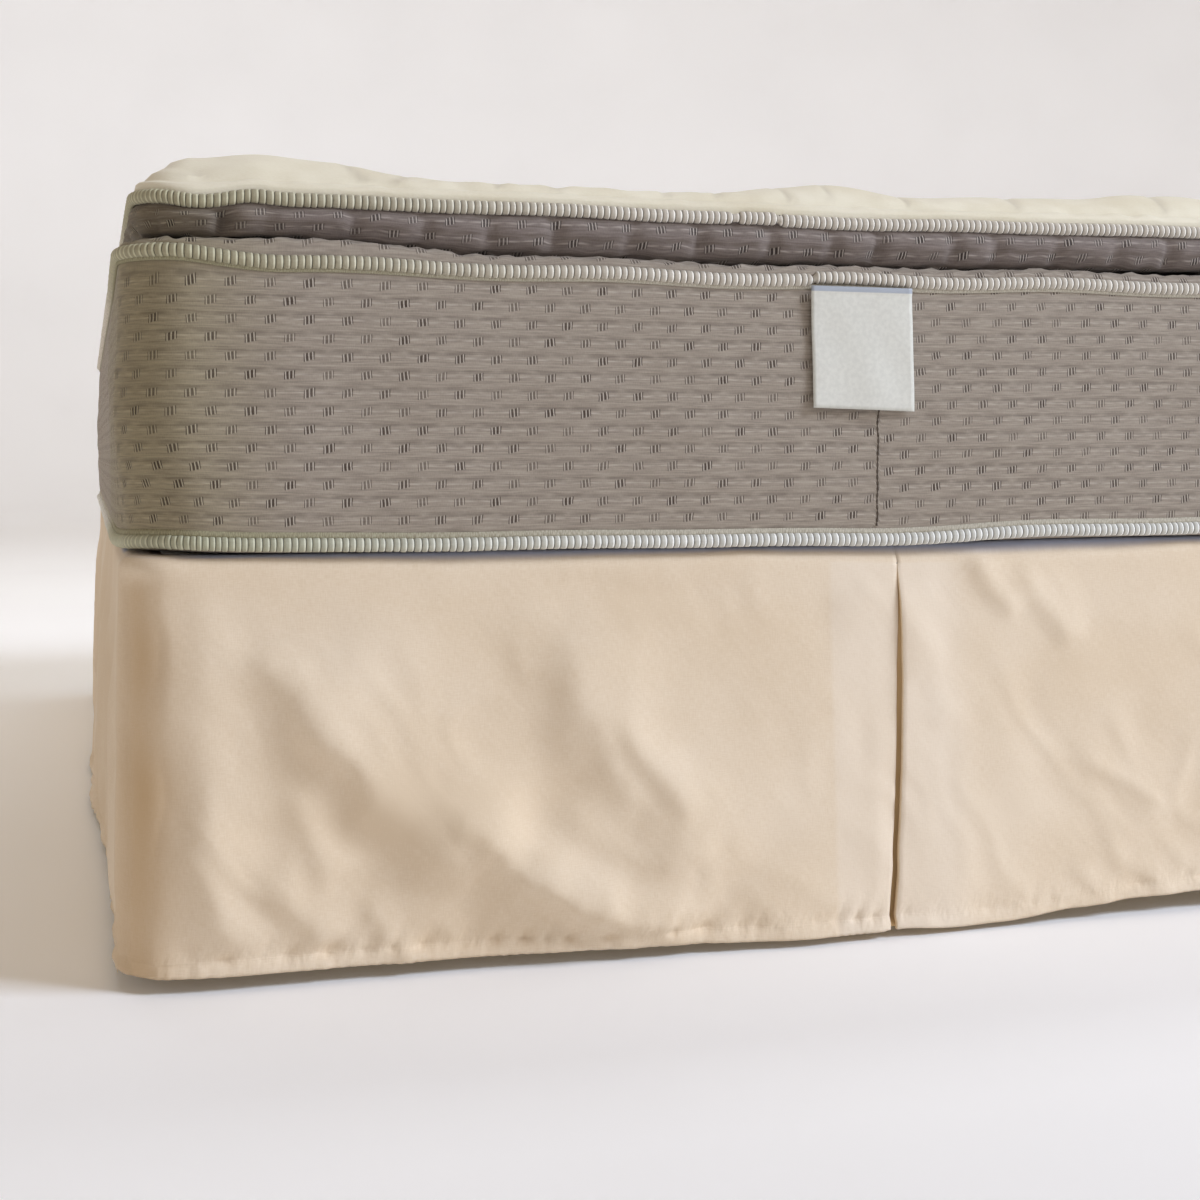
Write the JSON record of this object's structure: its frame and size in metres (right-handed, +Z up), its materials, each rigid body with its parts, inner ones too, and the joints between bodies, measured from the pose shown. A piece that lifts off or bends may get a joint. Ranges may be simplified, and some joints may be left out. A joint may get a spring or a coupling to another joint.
{
  "type": "bed skirt on a queen bed with box spring and mattress",
  "caption": "Tailored bed skirt with an inverted pleat in the middle of each drop, split foot corners and a flat deck, on a plain box spring under a pillow-top mattress.",
  "frame": {"origin": "on the floor under the middle of the bed", "axes": "the foot of the bed faces -Y, +X is on the right of someone who stands at the foot, +Z is up"},
  "size_m": [1.556, 2.0604, 0.7633],
  "materials": {
    "skirt_cloth": "plain woven cotton blend, cream, matt, softly creased",
    "deck_cloth": "thin plain-woven platform cloth, off-white, matt",
    "border_fabric": "taupe knitted ticking with small raised stitches in staggered rows",
    "quilt_fabric": "ivory quilted knit, soft sheen",
    "tape": "ribbed grosgrain binding tape, grey-beige",
    "label": "blank white woven label",
    "ticking": "plain ticking stretched over the box spring",
    "frame_steel": "black powder coat, satin"
  },
  "bodies": {
    "root": {"skirt_foot": "skirt_cloth", "skirt_left": "skirt_cloth", "skirt_right": "skirt_cloth", "skirt_deck": "deck_cloth", "mattress_core": "border_fabric", "pillow_top": "quilt_fabric", "tape_bottom": "tape", "tape_middle": "tape", "tape_top": "tape", "mattress_label": "label", "box_spring": "ticking", "rail_left": "frame_steel", "rail_right": "frame_steel", "rail_foot": "frame_steel", "rail_centre": "frame_steel", "rail_head": "frame_steel", "leg_foot_left": "frame_steel", "leg_foot_right": "frame_steel", "leg_centre": "frame_steel", "leg_head_left": "frame_steel", "leg_head_right": "frame_steel"}
  },
  "joints": []
}
